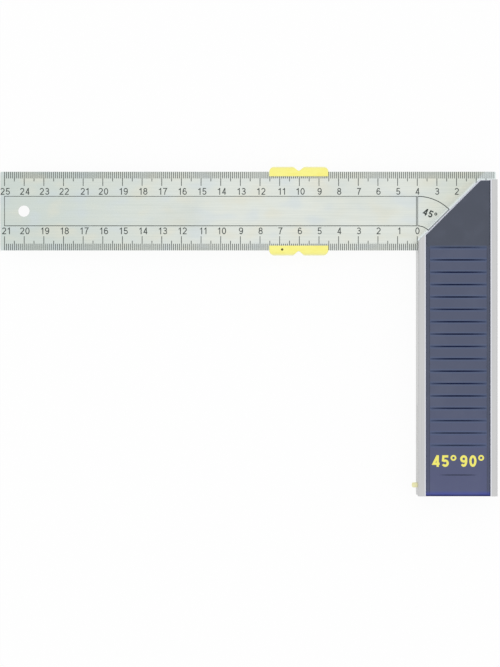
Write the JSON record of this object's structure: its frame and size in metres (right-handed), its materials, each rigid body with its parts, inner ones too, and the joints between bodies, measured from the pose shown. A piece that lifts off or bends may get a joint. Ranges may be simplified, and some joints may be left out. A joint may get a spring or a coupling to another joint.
{
  "type": "carpenter square",
  "caption": "Try and mitre square: a graduated steel blade in a mitred aluminium stock with ribbed plastic grips, a sliding marking stop and a fold-out support.",
  "frame": {"origin": "middle of the square's box, on the rear face that it lies on", "axes": "+X along the blade from its free end to the stock, +Y along the stock from its far end to the blade, +Z out of the front face"},
  "size_m": [0.2522, 0.1672, 0.016],
  "materials": {
    "stock_aluminium": "satin anodised, with fine lines along the extrusion",
    "blade_steel": "fine satin, faintly green",
    "grip_plastic": "fine moulded texture, navy",
    "stop_plastic": "semi-gloss moulded, yellow",
    "rivet_aluminium": "plain",
    "spring_steel": "bright",
    "scale_ink": "matt dark fill of the graduations",
    "grip_paint": "printed yellow angle mark"
  },
  "bodies": {
    "stock": {"stock_extrusion": "stock_aluminium", "blade": "blade_steel", "blade_rivets": "rivet_aluminium", "front_grip": "grip_plastic", "rear_grip": "grip_plastic", "support_pivot_pin": "spring_steel", "support_washers": "spring_steel"},
    "slider": {"slider_body": "stop_plastic", "slider_spring": "spring_steel"},
    "support": {"support_arm": "stop_plastic"}
  },
  "joints": [
    {"name": "slider_slide", "type": "slide", "parent": "stock", "child": "slider", "axis": [1, 0, 0], "range_m": [-0.1367, 0.0448]},
    {"name": "support_hinge", "type": "hinge", "parent": "stock", "child": "support", "pos_m": [0.0907, -0.0416, 0.008], "axis": [0, 0, -1], "range_deg": [0, 90]}
  ]
}
